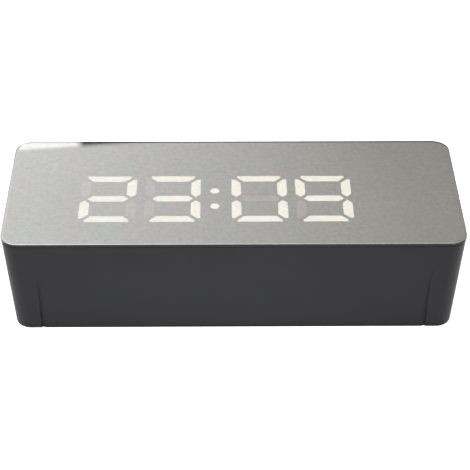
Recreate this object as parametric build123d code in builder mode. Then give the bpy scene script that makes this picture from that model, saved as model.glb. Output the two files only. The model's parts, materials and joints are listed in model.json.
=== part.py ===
from build123d import *
import math
import os

# Digital LED desk clock with a mirrored face, in millimetres.
# It lies on its back with the face up. X runs along the face, the feet of the digits point
# to -Y (the side that the clock stands on in use), +Y is its top side with the keys, and
# the origin is on the back face, under the middle of the face panel.

# Face panel, and the tape that bonds it to the rim. Its length and width follow from the
# display and the dark margins round it.
margin_left = 28.45
margin_right = 43.05
margin_near = 15.8
margin_far = 22.8
panel_thickness = 1.5
panel_corner_radius = 7.2
panel_bevel = 0.35
panel_overhang = 0.3
tape_thickness = 0.3
tape_width = 5.2
tape_margin = 0.9

# Case: one drafted tub, smaller at the back than at the rim
back_inset = 2.7
corner_radius = 6.65
side_wall = 2.2
back_wall = 2.2
back_edge_radius = 0.8
rim_edge_radius = 0.25
ledge_wall = 1.1
overrun = 1.0

# Shallow panel on the underside, and the witness lines at its two ends
recess_length = 160.4
recess_flare = 1.4
recess_straight_height = 25.5
recess_top_height = 33.0
recess_depth = 0.32
groove_width = 1.25
groove_depth = 0.85

# Posts that carry the display frame
post_radius = 3.5
post_margin_x = 9.8
post_margin_y = 6.6
frame_pilot_radius = 1.3
frame_pilot_depth = 9.0

# Display frame: a black plate on the rim's ledge, with the light wells under it
frame_thickness = 1.4
frame_clearance = 0.15
well_block_depth = 7.0
well_block_margin = 2.0
well_inset = 0.5
well_taper = 1.5
lens_thickness = 1.5
lens_clearance = 0.08
frame_hole_radius = 1.4
frame_sink_radius = 2.6
frame_screw_radius = 1.25
frame_head_radius = 2.5
frame_screw_length = 8.0
sink_angle = 82
frame_boss_radius = 3.0
frame_boss_gap = 4.5

# Digits: seven segments each, with the colon between hours and minutes
digit_width = 23.5
digit_height = 33.0
digit_gap = 3.7
pair_gap = 13.1
colon_shift = 0.5
stroke = 4.0
segment_gap = 1.2
tip_blunt = 1.3
dot_radius = 1.9
dot_spacing = 11.1

# Display board under the wells, its diodes and its screws
board_thickness = 1.6
board_gap = 15.9
display_board_lap = 9.0
display_board_margin = 1.5
led_length = 2.0
led_width = 1.25
led_height = 0.8
small_screw_radius = 0.9
small_pilot_radius = 0.95
small_hole_radius = 1.2
small_head_radius = 2.0
small_head_height = 1.4
small_screw_length = 6.0
small_pilot_depth = 5.5

# Battery bay in the back, for four small cells lying side by side
cell_radius = 5.25
cell_length = 44.5
cell_nub_radius = 1.9
cell_nub_length = 1.0
cell_edge = 0.4
cell_gap = 0.3
cell_clearance = 0.2
cell_count = 4
bay_y = -2.2
bay_wall = 1.5
contact_thickness = 0.4
contact_height = 8.0
contact_width = 8.0
leaf_reach = 2.4
leaf_width = 4.4
leaf_thickness = 0.4
button_reach = 0.8
button_radius = 2.2
tail_width = 2.4
tail_clearance = 0.25

# Sliding battery door, with tabs under the lips of its channel
door_width = 52.0
door_thickness = 1.65
door_recess = 0.3
door_lap = 2.5
door_travel = 9.0
slide_clearance = 0.15
lip_thickness = 1.0
tab_length = 7.0
tab_reach = 1.8
tab_pitch = 18.0
tab_count = 3
grip_length = 16.0
grip_width = 0.8
grip_height = 0.2
grip_pitch = 2.0
grip_count = 5
grip_margin = 10.0

# Main board above the bay
main_board_gap = 2.5
main_board_lap = 8.25
main_board_end_gap = 0.9
main_board_width = 37.0
main_board_y = -2.0
main_post_radius = 2.5
main_post_inset = 3.5

# Parts on the main board. The inset is from the board's left or right end to the middle of
# the part: left for the coin cell and the header, right for the others.
chip_length = 17.9
chip_width = 7.5
chip_height = 2.3
chip_inset = 52.9
chip_y = -6.0
chip_chamfer = 0.2
chip_leg_width = 0.45
chip_leg_reach = 1.4
chip_leg_thickness = 0.5
chip_leg_pitch = 1.27
chip_leg_count = 14
crystal_length = 11.0
crystal_width = 4.6
crystal_height = 3.5
crystal_flange = 0.4
crystal_inset = 52.9
crystal_y = 5.5
capacitor_radius = 3.15
capacitor_height = 9.0
capacitor_groove = 0.3
capacitor_groove_height = 1.4
capacitor_count = 2
capacitor_inset = 27.9
capacitor_y = -4.0
capacitor_pitch = 9.0
buzzer_radius = 6.0
buzzer_height = 9.5
buzzer_edge = 0.6
buzzer_mouth_radius = 1.3
buzzer_mouth_depth = 2.0
buzzer_inset = 33.9
buzzer_y = -8.0
sound_hole_radius = 0.8
sound_ring_radius = 3.2
sound_hole_count = 6
holder_wall = 1.5
holder_floor = 1.0
holder_clip_width = 5.0
holder_clip_thickness = 0.4
coin_cell_radius = 10.0
coin_cell_height = 3.2
coin_cell_clearance = 0.1
coin_cell_edge = 0.3
holder_inset = 42.0
holder_y = -2.0

# Pin header between the main board and the display board
header_inset = 17.0
header_edge_gap = 6.5
header_length = 21.0
header_width = 5.0
header_base_width = 2.5
header_base_height = 2.5
header_pin_size = 0.64
header_pin_pitch = 2.54
header_pin_count = 7
header_pin_gap = 3.0
socket_height = 8.4
socket_roof = 1.4
socket_slot_width = 1.8
socket_slot_length = 18.0

# Power jack on the main board, behind the right end wall
jack_length = 14.0
jack_width = 9.0
jack_height = 11.0
jack_face_length = 3.5
jack_round_radius = 4.1
jack_axis_height = 6.5
jack_bore_radius = 3.15
jack_bore_depth = 9.5
jack_pin_radius = 1.05
jack_pin_length = 8.8
jack_gap = 0.3
jack_y = 4.0
jack_hole_radius = 3.6
jack_recess_radius = 5.8
jack_recess_depth = 0.8

# Temperature sensor beside its vents in the right end wall
sensor_radius = 1.5
sensor_lead_size = 0.5
sensor_lead_spacing = 1.6
sensor_height = 5.4
sensor_wall_gap = 2.6
sensor_y = -8.5
vent_length = 8.0
vent_width = 1.2
vent_pitch = 2.6
vent_count = 3

# Keys in the top side, and the board with their switches
key_height = 22.0
key_clearance = 0.25
key_proud = 1.2
key_edge_radius = 0.5
key_travel = 0.5
snooze_length = 52.0
snooze_width = 8.0
small_key_length = 10.0
small_key_width = 7.0
key_end_gap = 27.15
key_pitch = 13.0
snooze_gap = 7.0
key_names = ("set", "down", "up")
flange_margin = 1.2
flange_thickness = 1.2
nib_size = 4.0
nib_height = 1.0
plunger_size = 3.0
plunger_clearance = 0.1
plunger_show = 1.0
plunger_length = 3.4
switch_size = 6.0
switch_height = 3.5
key_board_thickness = 1.2
key_board_height = 18.0
key_board_lap = 6.0
guide_wall = 1.5
guide_depth = 2.0
guide_clearance = 0.15
key_header_offset = 22.0
key_header_length = 13.0
key_header_pin_count = 5

# Sizes that follow from the ones above: along the face first
digit_pitch = digit_width + digit_gap
pair_length = digit_pitch + digit_width
well_block_length = 2 * (pair_length + well_block_margin) + pair_gap
well_block_width = digit_height + 2 * well_block_margin
panel_length = well_block_length + margin_left + margin_right
panel_width = well_block_width + margin_near + margin_far
rim_length = panel_length - 2 * panel_overhang
rim_width = panel_width - 2 * panel_overhang
back_length = rim_length - 2 * back_inset
back_width = rim_width - 2 * back_inset
hours_x = margin_left + well_block_margin + (pair_length - panel_length) / 2
minutes_x = hours_x + pair_length + pair_gap
colon_x = (hours_x + minutes_x) / 2 - colon_shift
digit_row_y = margin_near + (well_block_width - panel_width) / 2

# From the back up to the face
cell_pitch = 2 * cell_radius + cell_gap
bay_length = cell_length + button_reach + leaf_reach + 2 * contact_thickness
bay_width = cell_count * cell_pitch + cell_gap
channel_top = door_recess + door_thickness + slide_clearance
pad_top = channel_top + bay_wall
cell_axis = channel_top + cell_clearance + cell_radius
bay_top = cell_axis + cell_radius + cell_clearance
bay_roof = bay_top + bay_wall
main_board_bottom = bay_roof + main_board_gap
main_board_top = main_board_bottom + board_thickness
display_board_bottom = main_board_top + board_gap
display_board_top = display_board_bottom + board_thickness
ledge_height = display_board_top + well_block_depth
case_height = ledge_height + frame_thickness
lens_bottom = case_height - lens_thickness
panel_bottom = case_height + tape_thickness

# Walls, posts and the battery door
draft_angle = math.degrees(math.atan2(back_inset, case_height))
wall_normal = side_wall * math.cos(math.radians(draft_angle))
post_x = back_length / 2 - side_wall - post_margin_x
post_y = back_width / 2 - side_wall - post_margin_y
door_start_y = bay_y - bay_width / 2 - door_lap
door_half = door_width / 2
tab_half = door_half + tab_reach

# Depths of the keys and their board, inwards from the outside of the top side
flange_front = wall_normal + key_clearance
flange_back = flange_front + flange_thickness
plunger_tip = flange_back + nib_height
plunger_hole_depth = plunger_length - plunger_show + key_travel + plunger_clearance
switch_front = plunger_tip + plunger_show
key_board_front = switch_front + switch_height
key_board_back = key_board_front + key_board_thickness


def outline_grown(height):
    """How far the case's outline has grown outwards at a height above the back."""
    return back_inset * height / case_height


def inner_half_length(height):
    """Distance from the middle to the inside of an end wall at a height."""
    return back_length / 2 + outline_grown(height) - side_wall


def drafted_block(low, high, inset, radius):
    """Block between two heights inside the case's outline, with its draft and round corners."""
    top_plane = Plane.XY.offset(high)
    grown = outline_grown(high) - inset
    with BuildPart() as drafted:
        with BuildSketch(top_plane):
            Rectangle(back_length + 2 * grown, back_width + 2 * grown)
        extrude(amount=low - high)
        draft(drafted.faces().filter_by(Axis.Z, reverse=True), top_plane, -draft_angle)
        fillet(drafted.edges().group_by(Axis.Z)[1], radius)
    return drafted.part


def block(x_limits, y_limits, z_limits, mode=Mode.ADD):
    """Rectangular block between a low and a high limit on each axis."""
    low = Vector(x_limits[0], y_limits[0], z_limits[0])
    high = Vector(x_limits[1], y_limits[1], z_limits[1])
    size = high - low
    with Locations(low + size / 2):
        Box(size.X, size.Y, size.Z, mode=mode)


def around(centre, size):
    """Low and high limits of a size centred on a place."""
    return (centre - size / 2, centre + size / 2)


# Planes on the two long sides of the drafted case, facing outwards. The far side's plane
# passes through the line of the keys; its X runs to -X and its Y runs up the wall.
near_side = Plane(
    origin=(0, -back_width / 2, 0),
    x_dir=(1, 0, 0),
    z_dir=(0, -case_height, -back_inset),
)
far_side = Plane(
    origin=(0, back_width / 2 + outline_grown(key_height), key_height),
    x_dir=(-1, 0, 0),
    z_dir=(0, case_height, -back_inset),
)


# Segments

def segment_outlines():
    """Corner points of the seven segments about the middle of a digit, by letter."""
    side = digit_width / 2
    top = digit_height / 2
    inner_side = side - stroke
    inner_top = top - stroke
    tip_side = side - segment_gap - tip_blunt
    tip_top = top - segment_gap - tip_blunt
    bar = [
        (segment_gap - inner_side, inner_top),
        (-tip_side, top - tip_blunt),
        (-tip_side, top),
        (tip_side, top),
        (tip_side, top - tip_blunt),
        (inner_side - segment_gap, inner_top),
    ]
    upright = [
        (side - stroke / 2, segment_gap),
        (side, segment_gap + stroke / 2),
        (side, tip_top),
        (side - tip_blunt, tip_top),
        (inner_side, inner_top - segment_gap),
        (inner_side, segment_gap + stroke / 2),
    ]
    middle = [
        (segment_gap + stroke / 2 - side, 0),
        (segment_gap - inner_side, stroke / 2),
        (inner_side - segment_gap, stroke / 2),
        (side - stroke / 2 - segment_gap, 0),
        (inner_side - segment_gap, -stroke / 2),
        (segment_gap - inner_side, -stroke / 2),
    ]
    return {
        "a": bar,
        "b": upright,
        "c": [(x, -y) for x, y in upright],
        "d": [(x, -y) for x, y in bar],
        "e": [(-x, -y) for x, y in upright],
        "f": [(-x, y) for x, y in upright],
        "g": middle,
    }


# Which segments are lit to read 23:09
digits = {
    "hours_tens": (hours_x - digit_pitch / 2, "abged"),
    "hours_ones": (hours_x + digit_pitch / 2, "abgcd"),
    "minutes_tens": (minutes_x - digit_pitch / 2, "abcdef"),
    "minutes_ones": (minutes_x + digit_pitch / 2, "abcdfg"),
}
outlines = segment_outlines()
dot_places = [
    (colon_x, digit_row_y + dot_spacing / 2),
    (colon_x, digit_row_y - dot_spacing / 2),
]


def segment_faces(digit_x, letters):
    """Adds the outlines of some segments of one digit to the sketch being drawn."""
    with Locations((digit_x, digit_row_y)):
        for letter in letters:
            Polygon(*outlines[letter], align=None)


def all_segments(height, grow):
    """Every segment and dot of the display, grown or shrunk all round."""
    with BuildSketch(Plane.XY.offset(height)) as segments:
        for digit_x, _ in digits.values():
            segment_faces(digit_x, outlines)
        with Locations(*dot_places):
            Circle(dot_radius)
        offset(amount=grow, kind=Kind.INTERSECTION)
    return segments.sketch


os.makedirs("parts", exist_ok=True)

# Case shell

with BuildPart() as case_blank:
    add(drafted_block(0, case_height, 0, corner_radius))
    fillet(case_blank.faces().sort_by(Axis.Z)[0].edges(), back_edge_radius)
    fillet(case_blank.faces().sort_by(Axis.Z)[-1].edges(), rim_edge_radius)

frame_posts = [(x, y) for x in (-post_x, post_x) for y in (-post_y, post_y)]
main_board_left_x = -(bay_length / 2 + bay_wall + main_board_lap)
main_board_right_x = inner_half_length(main_board_bottom) - main_board_end_gap
holder_x = main_board_left_x + holder_inset
header_x = main_board_left_x + header_inset
header_y = main_board_y - main_board_width / 2 + header_edge_gap
chip_x = main_board_right_x - chip_inset
crystal_x = main_board_right_x - crystal_inset
capacitor_x = main_board_right_x - capacitor_inset
buzzer_x = main_board_right_x - buzzer_inset
main_post_places = [
    (x, y)
    for x in (main_board_left_x + main_post_inset, main_board_right_x - main_post_inset)
    for y in (
        main_board_y - main_board_width / 2 + main_post_inset,
        main_board_y + main_board_width / 2 - main_post_inset,
    )
]
pad_half = tab_half + slide_clearance + bay_wall
last_notch_y = door_start_y + tab_length + tab_pitch * (tab_count - 1) + door_travel
last_key_x = inner_half_length(key_height) - key_end_gap
key_places = [last_key_x - key_pitch * index for index in reversed(range(len(key_names)))]
snooze_x = key_places[0] - small_key_length / 2 - snooze_gap - snooze_length / 2
key_header_x = key_places[0] - key_header_offset
key_board_left_x = snooze_x - snooze_length / 2 - key_board_lap
key_board_right_x = key_places[-1] + small_key_length / 2 + flange_margin + guide_wall
guide_low = -(key_height - back_wall / 2) / math.cos(math.radians(draft_angle))
jack_axis_z = main_board_top + jack_axis_height
vent_z = main_board_top + sensor_height
recess_tilt = math.degrees(math.atan2(recess_depth, recess_top_height))
groove_tilt = math.degrees(math.atan2(groove_depth, recess_top_height))
recess_top = Plane(
    origin=near_side.from_local_coords((0, recess_top_height, 0)),
    x_dir=near_side.x_dir,
    z_dir=near_side.z_dir,
)


def witness_line(side):
    """One end of the underside panel: straight up from the back, then flaring out."""
    bend_y = recess_straight_height - recess_top_height
    low = (side * recess_length / 2, -recess_top_height - overrun)
    bend = (side * recess_length / 2, bend_y)
    high = (side * (recess_length / 2 + recess_flare), 0)
    with BuildLine() as line:
        Line(low, bend)
        TangentArc(bend, high, tangent=(0, 1))
    return line


with BuildPart() as case_shell:
    add(case_blank.part)
    add(
        drafted_block(back_wall, case_height, side_wall, corner_radius - side_wall),
        mode=Mode.SUBTRACT,
    )
    # Ledge for the display frame, just inside the rim
    with BuildSketch(Plane.XY.offset(ledge_height)):
        RectangleRounded(
            back_length + 2 * (outline_grown(ledge_height) - ledge_wall),
            back_width + 2 * (outline_grown(ledge_height) - ledge_wall),
            corner_radius - ledge_wall,
        )
    extrude(amount=frame_thickness + overrun, mode=Mode.SUBTRACT)

    # Posts for the display frame and for the main board
    with BuildSketch(Plane.XY.offset(back_wall / 2)):
        with Locations(*frame_posts):
            Circle(post_radius)
    extrude(amount=ledge_height - back_wall / 2)
    with BuildSketch(Plane.XY.offset(back_wall / 2)):
        with Locations(*main_post_places):
            Circle(main_post_radius)
    extrude(amount=main_board_bottom - back_wall / 2)
    with BuildSketch(Plane.XY.offset(ledge_height)):
        with Locations(*frame_posts):
            Circle(frame_pilot_radius)
    extrude(amount=-frame_pilot_depth, mode=Mode.SUBTRACT)
    with BuildSketch(Plane.XY.offset(main_board_bottom)):
        with Locations(*main_post_places):
            Circle(small_pilot_radius)
    extrude(amount=-small_pilot_depth, mode=Mode.SUBTRACT)

    # Thick pad for the door's channel, and the battery bay's box over it
    block(
        (-pad_half, pad_half),
        (door_start_y - slide_clearance - bay_wall, back_width / 2 - side_wall / 2),
        (back_wall / 2, pad_top),
    )
    block(
        around(0, bay_length + 2 * bay_wall),
        around(bay_y, bay_width + 2 * bay_wall),
        (back_wall / 2, bay_roof),
    )
    block(
        around(0, bay_length),
        around(bay_y, bay_width),
        (door_recess, bay_top),
        mode=Mode.SUBTRACT,
    )
    # Channel for the door, open through the top side, and the grooves for its tabs
    block(
        around(0, door_width + 2 * slide_clearance),
        (door_start_y - slide_clearance, back_width / 2 + overrun),
        (-overrun, channel_top),
        mode=Mode.SUBTRACT,
    )
    block(
        around(0, 2 * (tab_half + slide_clearance)),
        (door_start_y - slide_clearance, last_notch_y + slide_clearance),
        (lip_thickness, channel_top),
        mode=Mode.SUBTRACT,
    )
    for index in range(tab_count):
        notch_y = door_start_y + tab_length / 2 + tab_pitch * index + door_travel
        block(
            around(0, 2 * (tab_half + slide_clearance)),
            around(notch_y, tab_length + 2 * slide_clearance),
            (-overrun, channel_top),
            mode=Mode.SUBTRACT,
        )
    # Slots in the bay's roof for the tails of the two end contacts
    for row in (0, cell_count - 1):
        block(
            around(
                (contact_thickness - bay_length) / 2,
                contact_thickness + 2 * tail_clearance,
            ),
            around(
                bay_y + cell_pitch * (row - (cell_count - 1) / 2),
                tail_width + 2 * tail_clearance,
            ),
            (bay_top - overrun, bay_roof + overrun),
            mode=Mode.SUBTRACT,
        )

    # Guides that hold the two ends of the key board
    with BuildSketch(far_side.offset(guide_wall - key_board_front)):
        for end_x, side in ((key_board_left_x, -1), (key_board_right_x, 1)):
            guide_x = end_x + side * (guide_wall - guide_depth) / 2
            with Locations((-guide_x, (guide_low + key_board_height / 2) / 2)):
                Rectangle(guide_depth + guide_wall, key_board_height / 2 - guide_low)
    extrude(amount=-(key_board_thickness + 2 * guide_wall))
    with BuildSketch(far_side.offset(guide_clearance - key_board_front)):
        with Locations((-(key_board_left_x + key_board_right_x) / 2, overrun / 2)):
            Rectangle(
                key_board_right_x - key_board_left_x + 2 * guide_clearance,
                key_board_height + overrun,
            )
    extrude(amount=-(key_board_thickness + 2 * guide_clearance), mode=Mode.SUBTRACT)

    # Slots for the keys
    with BuildSketch(far_side):
        with Locations((-snooze_x, 0)):
            SlotOverall(snooze_length + 2 * key_clearance, snooze_width + 2 * key_clearance)
        with Locations(*[(-x, 0) for x in key_places]):
            SlotOverall(
                small_key_length + 2 * key_clearance,
                small_key_width + 2 * key_clearance,
            )
    extrude(amount=side_wall + overrun, both=True, mode=Mode.SUBTRACT)

    # Power inlet with a flat seat round it, and the sensor's vents, in the right end
    with BuildSketch(Plane.YZ.offset(inner_half_length(0) - overrun)):
        with Locations((jack_y, jack_axis_z)):
            Circle(jack_hole_radius)
        for index in range(vent_count):
            with Locations((sensor_y + vent_pitch * (index - (vent_count - 1) / 2), vent_z)):
                SlotOverall(vent_length, vent_width, rotation=90)
    extrude(amount=back_inset + side_wall + 2 * overrun, mode=Mode.SUBTRACT)
    seat_x = back_length / 2 + outline_grown(jack_axis_z - jack_recess_radius) - jack_recess_depth
    with BuildSketch(Plane.YZ.offset(seat_x)):
        with Locations((jack_y, jack_axis_z)):
            Circle(jack_recess_radius)
    extrude(amount=back_inset + side_wall, mode=Mode.SUBTRACT)

    # Sound holes under the buzzer
    with BuildSketch(Plane.XY):
        with Locations((buzzer_x, buzzer_y)):
            Circle(sound_hole_radius)
            with PolarLocations(sound_ring_radius, sound_hole_count):
                Circle(sound_hole_radius)
    extrude(amount=back_wall + overrun, mode=Mode.SUBTRACT)

    # Shallow panel on the underside, deepest at the back edge, and its witness lines
    with BuildSketch(recess_top.rotated((recess_tilt, 0, 0))):
        left = witness_line(-1)
        right = witness_line(1)
        with BuildLine():
            add(left.line)
            Line(left.line @ 1, right.line @ 1)
            add(right.line)
            Line(left.line @ 0, right.line @ 0)
        make_face()
    extrude(amount=overrun, mode=Mode.SUBTRACT)
    with BuildSketch(recess_top.rotated((groove_tilt, 0, 0))):
        trace(witness_line(-1).line, groove_width)
        trace(witness_line(1).line, groove_width)
    extrude(amount=overrun, mode=Mode.SUBTRACT)
case_shell.part.label = "case_shell"
export_step(case_shell.part, "parts/case_shell.step")

# Mirrored face panel and the tape ring under it

with BuildPart() as mirror_panel:
    with BuildSketch(Plane.XY.offset(panel_bottom)):
        RectangleRounded(panel_length, panel_width, panel_corner_radius)
    extrude(amount=panel_thickness)
    chamfer(mirror_panel.faces().sort_by(Axis.Z)[-1].edges(), panel_bevel)
mirror_panel.part.label = "mirror_panel"
export_step(mirror_panel.part, "parts/mirror_panel.step")

with BuildPart() as panel_tape:
    with BuildSketch(Plane.XY.offset(case_height)):
        RectangleRounded(
            panel_length - 2 * tape_margin,
            panel_width - 2 * tape_margin,
            panel_corner_radius - tape_margin,
        )
        RectangleRounded(
            panel_length - 2 * (tape_margin + tape_width),
            panel_width - 2 * (tape_margin + tape_width),
            panel_corner_radius - tape_margin,
            mode=Mode.SUBTRACT,
        )
    extrude(amount=tape_thickness)
panel_tape.part.label = "panel_tape"
export_step(panel_tape.part, "parts/panel_tape.step")

# Display frame with its light wells

block_x = around((hours_x + minutes_x) / 2, well_block_length)
block_y = around(digit_row_y, well_block_width)
frame_boss_places = [
    (x, y)
    for x in (block_x[0] - frame_boss_gap, block_x[1] + frame_boss_gap)
    for y in (block_y[0] + frame_boss_radius, block_y[1] - frame_boss_radius)
]

with BuildPart() as display_frame:
    with BuildSketch(Plane.XY.offset(ledge_height)):
        RectangleRounded(
            back_length + 2 * (outline_grown(ledge_height) - ledge_wall - frame_clearance),
            back_width + 2 * (outline_grown(ledge_height) - ledge_wall - frame_clearance),
            corner_radius - ledge_wall - frame_clearance,
        )
    extrude(amount=frame_thickness)
    block(block_x, block_y, (display_board_top, case_height))
    with BuildSketch(Plane.XY.offset(display_board_top)):
        with Locations(*frame_boss_places):
            Circle(frame_boss_radius)
    extrude(amount=well_block_depth)
    add(
        extrude(all_segments(case_height, lens_clearance), amount=-lens_thickness, mode=Mode.PRIVATE),
        mode=Mode.SUBTRACT,
    )
    add(
        extrude(
            all_segments(lens_bottom, -well_inset),
            amount=-(lens_bottom - display_board_top),
            taper=well_taper,
            mode=Mode.PRIVATE,
        ),
        mode=Mode.SUBTRACT,
    )
    with BuildSketch(Plane.XY.offset(display_board_top)):
        with Locations(*frame_boss_places):
            Circle(small_pilot_radius)
    extrude(amount=small_pilot_depth, mode=Mode.SUBTRACT)
    with Locations(*[(x, y, case_height) for x, y in frame_posts]):
        CounterSinkHole(
            frame_hole_radius,
            frame_sink_radius,
            depth=frame_thickness,
            counter_sink_angle=sink_angle,
        )
display_frame.part.label = "display_frame"
export_step(display_frame.part, "parts/display_frame.step")

# Segment lenses: one node for the lit ones and one for the dark ones of each digit

for name, (digit_x, lit) in digits.items():
    dark = [letter for letter in outlines if letter not in lit]
    for state, letters in (("lit", lit), ("dark", dark)):
        with BuildPart() as lenses:
            with BuildSketch(Plane.XY.offset(lens_bottom)):
                segment_faces(digit_x, letters)
            extrude(amount=lens_thickness)
        lenses.part.label = f"{name}_{state}_lenses"
        export_step(lenses.part, f"parts/{name}_{state}_lenses.step")

with BuildPart() as colon_lenses:
    with BuildSketch(Plane.XY.offset(lens_bottom)):
        with Locations(*dot_places):
            Circle(dot_radius)
    extrude(amount=lens_thickness)
colon_lenses.part.label = "colon_lenses"
export_step(colon_lenses.part, "parts/colon_lenses.step")

# Display board, its diodes and its screws

with BuildPart() as display_board:
    block(
        (block_x[0] - display_board_lap, block_x[1] + display_board_lap),
        (block_y[0] - display_board_margin, block_y[1] + display_board_margin),
        (display_board_bottom, display_board_top),
    )
    with Locations(*[(x, y, display_board_top) for x, y in frame_boss_places]):
        Hole(small_hole_radius, depth=board_thickness)
display_board.part.label = "display_board"
export_step(display_board.part, "parts/display_board.step")

with BuildPart() as segment_leds:
    for digit_x, _ in digits.values():
        for letter, points in outlines.items():
            middle_x = digit_x + sum(x for x, _ in points) / len(points)
            middle_y = digit_row_y + sum(y for _, y in points) / len(points)
            sizes = (led_length, led_width) if letter in "adg" else (led_width, led_length)
            block(
                around(middle_x, sizes[0]),
                around(middle_y, sizes[1]),
                (display_board_top, display_board_top + led_height),
            )
    for dot_x, dot_y in dot_places:
        block(
            around(dot_x, led_length),
            around(dot_y, led_width),
            (display_board_top, display_board_top + led_height),
        )
segment_leds.part.label = "segment_leds"
export_step(segment_leds.part, "parts/segment_leds.step")


def pan_screws(places, seat_height, side):
    """Round-headed screws: heads on one side of a seat (1 above, -1 below), shanks beyond it."""
    with BuildPart() as screws:
        with BuildSketch(Plane.XY.offset(seat_height)):
            with Locations(*places):
                Circle(small_head_radius)
        extrude(amount=side * small_head_height)
        crowns = screws.faces().filter_by(Axis.Z).sort_by(Axis.Z, reverse=side > 0)[:len(places)]
        chamfer(crowns.edges(), small_head_height / 2)
        with BuildSketch(Plane.XY.offset(seat_height)):
            with Locations(*places):
                Circle(small_screw_radius)
        extrude(amount=-side * small_screw_length)
    return screws


display_board_screws = pan_screws(frame_boss_places, display_board_bottom, -1)
display_board_screws.part.label = "display_board_screws"
export_step(display_board_screws.part, "parts/display_board_screws.step")

with BuildPart() as frame_screws:
    with Locations(*[(x, y, case_height) for x, y in frame_posts]):
        Cone(
            frame_screw_radius,
            frame_head_radius,
            (frame_head_radius - frame_screw_radius) / math.tan(math.radians(sink_angle / 2)),
            align=(Align.CENTER, Align.CENTER, Align.MAX),
        )
        Cylinder(
            frame_screw_radius,
            frame_screw_length,
            align=(Align.CENTER, Align.CENTER, Align.MAX),
        )
frame_screws.part.label = "frame_screws"
export_step(frame_screws.part, "parts/frame_screws.step")

# Battery door: cut from the case's own outline, so that its end carries on the top side

with BuildPart() as battery_door:
    add(case_blank.part)
    block(
        around(0, door_width),
        (door_start_y, back_width / 2 + overrun),
        (door_recess, door_recess + door_thickness),
        mode=Mode.INTERSECT,
    )
    for index in range(tab_count):
        block(
            around(0, 2 * tab_half),
            around(door_start_y + tab_length / 2 + tab_pitch * index, tab_length),
            (lip_thickness + slide_clearance, door_recess + door_thickness),
        )
    for index in range(grip_count):
        block(
            around(0, grip_length),
            around(back_width / 2 - grip_margin - grip_pitch * index, grip_width),
            (door_recess - grip_height, door_recess + door_thickness / 2),
        )
battery_door.part.label = "battery_door"
export_step(battery_door.part, "parts/battery_door.step")

# Battery cells, turned end for end by turns, and the contacts at the ends of the bay


def row_y(row):
    """Middle of a row of the battery bay."""
    return bay_y + cell_pitch * (row - (cell_count - 1) / 2)


def plus_side(row):
    """Which end of the bay the plus pole of a row points to."""
    return 1 if row % 2 == 0 else -1


for row in range(cell_count):
    side = plus_side(row)
    plus_x = side * (bay_length / 2 - contact_thickness - button_reach)
    can_x = plus_x - side * cell_nub_length
    with BuildPart() as battery_cell:
        with BuildSketch(Plane.YZ.offset(can_x)):
            with Locations((row_y(row), cell_axis)):
                Circle(cell_radius)
        extrude(amount=-side * (cell_length - cell_nub_length))
        chamfer(battery_cell.edges().filter_by(GeomType.CIRCLE), cell_edge)
        with BuildSketch(Plane.YZ.offset(can_x)):
            with Locations((row_y(row), cell_axis)):
                Circle(cell_nub_radius)
        extrude(amount=side * cell_nub_length)
    battery_cell.part.label = f"battery_cell_{row + 1}"
    export_step(battery_cell.part, f"parts/battery_cell_{row + 1}.step")


def contact(side, rows):
    """Contact plate at one end of the bay: a button for each plus pole, a leaf for each minus."""
    wall_x = side * bay_length / 2
    face_x = wall_x - side * contact_thickness
    leaf_half = contact_height / 2 - leaf_thickness
    block(
        sorted((wall_x, face_x)),
        (row_y(rows[0]) - contact_width / 2, row_y(rows[-1]) + contact_width / 2),
        around(cell_axis, contact_height),
    )
    for row in rows:
        if plus_side(row) == side:
            with BuildSketch(Plane.YZ.offset(face_x)) as button:
                with Locations((row_y(row), cell_axis)):
                    Circle(button_radius)
            extrude(button.sketch, amount=-side * button_reach)
        else:
            with BuildSketch(Plane.XZ.offset(-row_y(row))) as leaf:
                with BuildLine():
                    outer = ThreePointArc(
                        (face_x, cell_axis - leaf_half),
                        (face_x - side * leaf_reach, cell_axis),
                        (face_x, cell_axis + leaf_half),
                    )
                    inner = ThreePointArc(
                        (face_x, cell_axis - leaf_half + leaf_thickness),
                        (face_x - side * (leaf_reach - leaf_thickness), cell_axis),
                        (face_x, cell_axis + leaf_half - leaf_thickness),
                    )
                    Line(outer @ 0, inner @ 0)
                    Line(outer @ 1, inner @ 1)
                make_face()
            extrude(leaf.sketch, amount=leaf_width / 2, both=True)


with BuildPart() as contact_links:
    for first in range(0, cell_count, 2):
        contact(1, (first, first + 1))
    for first in range(1, cell_count - 1, 2):
        contact(-1, (first, first + 1))
contact_links.part.label = "contact_links"
export_step(contact_links.part, "parts/contact_links.step")

with BuildPart() as end_contacts:
    for row in (0, cell_count - 1):
        contact(-1, (row,))
        block(
            (-bay_length / 2, contact_thickness - bay_length / 2),
            around(row_y(row), tail_width),
            (cell_axis, main_board_bottom),
        )
end_contacts.part.label = "end_contacts"
export_step(end_contacts.part, "parts/end_contacts.step")

# Main board and its screws

with BuildPart() as main_board:
    block(
        (main_board_left_x, main_board_right_x),
        around(main_board_y, main_board_width),
        (main_board_bottom, main_board_top),
    )
    with Locations(*[(x, y, main_board_top) for x, y in main_post_places]):
        Hole(small_hole_radius, depth=board_thickness)
main_board.part.label = "main_board"
export_step(main_board.part, "parts/main_board.step")

main_board_screws = pan_screws(main_post_places, main_board_top, 1)
main_board_screws.part.label = "main_board_screws"
export_step(main_board_screws.part, "parts/main_board_screws.step")

# Parts soldered to the main board

with BuildPart() as clock_chip:
    block(
        around(chip_x, chip_length),
        around(chip_y, chip_width),
        (main_board_top, main_board_top + chip_height),
    )
    chamfer(clock_chip.faces().sort_by(Axis.Z)[-1].edges(), chip_chamfer)
    for index in range(chip_leg_count):
        block(
            around(chip_x + chip_leg_pitch * (index - (chip_leg_count - 1) / 2), chip_leg_width),
            around(chip_y, chip_width + 2 * chip_leg_reach),
            (main_board_top, main_board_top + chip_leg_thickness),
        )
clock_chip.part.label = "clock_chip"
export_step(clock_chip.part, "parts/clock_chip.step")

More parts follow.
